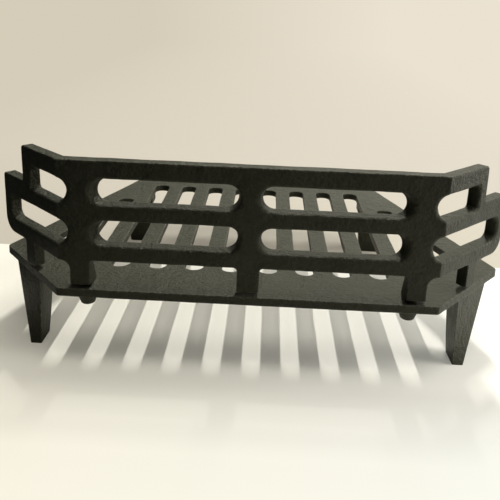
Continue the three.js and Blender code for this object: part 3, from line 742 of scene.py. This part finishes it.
class Shop:
    """One node material."""

    def __init__(self, name):
        self.material = bpy.data.materials.new(name)
        self.material.use_nodes = True
        self.tree = self.material.node_tree
        self.tree.nodes.clear()

    def add(self, kind, settings=None, sockets=None, out=0):
        """A node of a kind, its settings first and then its sockets' values or wires."""
        node = self.tree.nodes.new(kind)
        for key, value in (settings or {}).items():
            setattr(node, key, value)
        for key, value in (sockets or {}).items():
            if isinstance(value, Wire):
                self.tree.links.new(value.socket, node.inputs[key])
            else:
                node.inputs[key].default_value = value
        return Wire(self, node.outputs[out])

    def place(self):
        return self.add("ShaderNodeTexCoord", out="Object")

    def noise(self, at, size, detail=2.0, roughness=0.5):
        """Noise whose lumps are about size millimetres across."""
        return self.add("ShaderNodeTexNoise", {}, {
            "Vector": at, "Scale": 1 / (size * MM), "Detail": detail, "Roughness": roughness,
        })

    def spots(self, at, size):
        """Distance from the nearest of points that lie about size millimetres apart, as a share of that."""
        return self.add("ShaderNodeTexVoronoi", {"feature": "F1"}, {
            "Vector": at, "Scale": 1 / (size * MM), "Randomness": 1.0,
        })

    def bump(self, height, strength, distance):
        """A normal from a height, which is worth the distance in millimetres."""
        return self.add("ShaderNodeBump", {}, {
            "Strength": strength, "Distance": distance * MM, "Height": height,
        })

    def edges(self, radius):
        """How far the faces turn within a radius in millimetres: 0 on flats, more on edges."""
        face = self.add("ShaderNodeNewGeometry", out="Normal")
        rounded = self.add("ShaderNodeBevel", {"samples": 4}, {"Radius": radius * MM})
        product = {"operation": "DOT_PRODUCT"}
        return 1 - self.add("ShaderNodeVectorMath", product, {0: face, 1: rounded}, "Value")

    def mix(self, share, first, second):
        return self.add("ShaderNodeMix", {"data_type": "RGBA"}, {0: share, 6: first, 7: second}, out=2)

    def close(self, shader):
        output = self.tree.nodes.new("ShaderNodeOutputMaterial")
        self.tree.links.new(shader.socket, output.inputs["Surface"])
        return self.material


def cast_iron(name):
    """Satin black over sand-cast iron: grainy, softly lumpy, painted highlights on edges and specks."""
    shop = Shop(name)
    at = shop.place()
    sweep = shop.noise(at, 45, 2)
    lumps = shop.noise(at, 8, 3, 0.6)
    sand = shop.noise(at, 2.4, 4, 0.7)
    grit = shop.noise(at, 0.5, 2, 0.6)
    pit = 1 - shop.spots(at, 5).span(0.03, 0.16)
    height = sweep * 0.9 + lumps * 1.3 + sand * 1.1 + grit * 0.15 - pit * 0.25
    # Painted highlight: edges and specks of the grain are mixed towards a light tone that stands for glints.
    edge = (shop.edges(1.6) * 12).held() * sand.span(0.38, 0.58)
    tone = (sweep.span(0.35, 0.65) * 0.3 + lumps.span(0.35, 0.65) * 0.3 + sand.span(0.36, 0.64) * 0.5).held()
    painted_glints = grit.span(0.64, 0.72) * sand.span(0.45, 0.6)
    paint = shop.mix(tone, IRON_DARK, IRON_LIGHT)
    body = shop.add("ShaderNodeBsdfPrincipled", {}, {
        "Base Color": shop.mix((edge * 0.7 + painted_glints * 0.3).held(), paint, IRON_PAINTED_HIGHLIGHT),
        "Roughness": 0.33 + sand * 0.18 + lumps * 0.10 - edge * 0.12,
        "Metallic": 0.0, "Specular IOR Level": 0.42, "Specular Tint": IRON_SHEEN,
        "Normal": shop.bump(height, 1.0, 1.3),
    })
    return shop.close(body)


def dark_steel(name):
    """Blackened screw steel with fine turning marks."""
    shop = Shop(name)
    at = shop.place()
    marks = shop.noise(at, 0.7, 3, 0.6)
    stain = shop.noise(at, 4, 2)
    body = shop.add("ShaderNodeBsdfPrincipled", {}, {
        "Base Color": shop.mix(stain.span(0.35, 0.7), STEEL_DARK, STEEL_LIGHT),
        "Roughness": 0.34 + marks * 0.2, "Metallic": 0.85, "Normal": shop.bump(marks, 0.5, 0.08),
    })
    return shop.close(body)


def pale_floor(name):
    """White in front and cream behind a straight line across, for the floor and the wall behind it.

    Seen by the camera, a part of each tone is painted light: it glows and takes no shadow, and so
    lightens the grate's shadows. It is about a quarter round the grate, more at the near edge and on
    the right, and all of it far behind, where the glow is lighter on the right. Reflections see more
    of that painted light on the right than on the left, a painted reflection. Near the front edge the
    white is darker, painted shade.
    """
    shop = Shop(name)
    across = shop.add("ShaderNodeSeparateXYZ", {}, {0: shop.place()}, "X")
    back = across.beside("Y")
    rightwards = across.span(-0.15, 0.2)
    behind = back.span(0.0605, 0.0615)
    middle = shop.mix(rightwards, *FLOOR_MIDDLE)
    # Painted shade: the white is darker near the front edge, where the lamps bring more light.
    near_painted_shade = shop.mix(rightwards, *FLOOR_NEAR_PAINTED_SHADE)
    front = shop.mix(back.span(-0.205, -0.15), near_painted_shade, middle)
    white = shop.add("ShaderNodeBsdfDiffuse", {}, {"Color": shop.mix(behind, front, FLOOR_FAR)})
    # Painted light: glowing tones, lighter on the right, for the far wall and the near floor.
    cream = shop.mix(across.span(-0.6, 0.6), *PAINTED_LIGHT_FAR)
    bright = shop.mix(rightwards, *PAINTED_LIGHT_FRONT)
    painted_glow = shop.add("ShaderNodeEmission", {}, {"Color": shop.mix(behind, bright, cream), "Strength": 1.0})
    camera_ray = shop.add("ShaderNodeLightPath", out="Is Camera Ray")
    through, mirror = camera_ray.beside("Is Transmission Ray"), camera_ray.beside("Is Glossy Ray")
    # Painted light: camera rays see a share of glow that takes no shadow; reflections see more of it on the
    # right.
    seen = (camera_ray + through + mirror * across.span(-0.25, 0.75)).held()
    near_painted_light = (1 - back.span(-0.23, -0.165)) * 0.7
    share = (0.22 + back.span(0.10, 0.45) * 0.78 + near_painted_light + across.span(0.27, 0.33)).held()
    return shop.close(shop.add("ShaderNodeMixShader", {}, {0: seen * share, 1: white, 2: painted_glow}))


def wear(piece, finish):
    piece.data.materials.clear()
    piece.data.materials.append(finish)
    return piece


# ---------------------------------------------------------------- assembly

iron = cast_iron("cast_iron")
steel = dark_steel("screw_steel")


def fit(piece, body, node, finish):
    """Put a finished piece in the place of its node."""
    wear(piece, finish)
    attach(piece, body)
    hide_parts(node)


fit(move_mesh(bed_casting(), 0, FRONT), "frame", "bed", iron)
fit(move_mesh(fret_casting(), 0, FRONT), "fret", "front_fret", iron)
LEGS = {
    "front": (front_leg_points, front_flange(), FRONT_SCREW),
    "rear": (rear_leg_points, rear_flange(), REAR_SCREW),
}
for end, (points_at, flange, screw) in LEGS.items():
    made = {
        "leg": (leg_casting(f"{end}_leg_right_casting", points_at, flange, screw), iron, "cast_iron"),
        "screw": (hexagon_screw(f"{end}_screw_right_turned", screw), steel, "screw_steel"),
        "washer": (plain_washer(f"{end}_washer_right_pressed", screw), steel, "screw_steel"),
    }
    for kind, (right, finish, slot_name) in made.items():
        move_mesh(right, 0, FRONT)
        left = mirrored(right, right.name.replace("right", "left"))
        fit(right, "frame", f"{end}_{kind}_right", finish)
        fit(left, "frame", f"{end}_{kind}_left", finish)


# ---------------------------------------------------------------- stage, light and camera

# A table top, whose left, right and front edges lie just outside the picture, and a wall across its far end.
floor = trace("floor", [(-129, -330), (480, -330), (480, 560), (2000, 4500), (-2300, 4500)])
bench()
wall = trace("wall", [(-1700, 0), (1700, 0), (1700, 1500), (-1700, 1500)])
rotate_mesh(wall, math.pi / 2, "X")
move_mesh(wall, 0, 2600)
pale = pale_floor("floor_pale")
for surface in (floor, wall):
    wear(surface, pale)


def lamp(name, place, size, power, colour, target=None):
    """A soft rectangular lamp that faces straight down, or else a target."""
    bpy.ops.object.light_add(type="AREA", location=place)
    light = bpy.context.object
    light.name = name
    light.data.shape = "RECTANGLE"
    light.data.size, light.data.size_y = size
    light.data.energy = power
    light.data.color = colour
    if target:
        light.rotation_mode = "QUATERNION"
        light.rotation_quaternion = (Vector(target) - Vector(place)).to_track_quat("-Z", "Y")


# Places and sizes of the lamps are in metres and their powers in watts.
lamp("overhead_tube", (0.90, 3.86, 5.00), size=(0.10, 2.0), power=440, colour=(1.0, 0.985, 0.94))
lamp("ceiling_softbox", (0.35, -0.05, 2.20), size=(1.6, 1.2), power=28, colour=(1.0, 0.97, 0.90))
lamp("side_softbox", (1.30, -0.15, 0.95), size=(0.6, 0.6), power=12, colour=(1.0, 0.98, 0.93),
     target=(0.10, -0.10, 0.0))
lamp("low_softbox", (1.15, 0.10, 0.20), size=(0.9, 0.36), power=5, colour=(1.0, 0.98, 0.93),
     target=(0.15, -0.08, 0.06))

world = bpy.data.worlds.new("studio")
bpy.context.scene.world = world
world.use_nodes = True
studio = world.node_tree.nodes["Background"].inputs
studio["Color"].default_value = (0.93, 0.92, 0.86, 1)
studio["Strength"].default_value = 0.05

ahead = Vector((math.sin(YAW) * math.cos(PITCH), math.cos(YAW) * math.cos(PITCH), -math.sin(PITCH)))
level = Vector((math.cos(YAW), -math.sin(YAW), 0))
down = ahead.cross(level)
right = level * math.cos(ROLL) + down * math.sin(ROLL)
below = down * math.cos(ROLL) - level * math.sin(ROLL)
pose = Matrix((right, -below, -ahead)).transposed().to_4x4()
pose.translation = Vector(CAMERA_PLACE) * MM
bpy.ops.object.camera_add()
camera = bpy.context.object
camera.name = "camera"
camera.matrix_world = pose
camera.data.sensor_width = SENSOR_WIDTH
camera.data.lens = FOCAL_PIXELS / PICTURE_PIXELS * SENSOR_WIDTH
camera.data.shift_x = SHIFT_X
camera.data.shift_y = SHIFT_Y
camera.data.clip_start = 0.01
camera.data.clip_end = 50
bpy.context.scene.camera = camera
bpy.context.scene.view_settings.view_transform = "Standard"
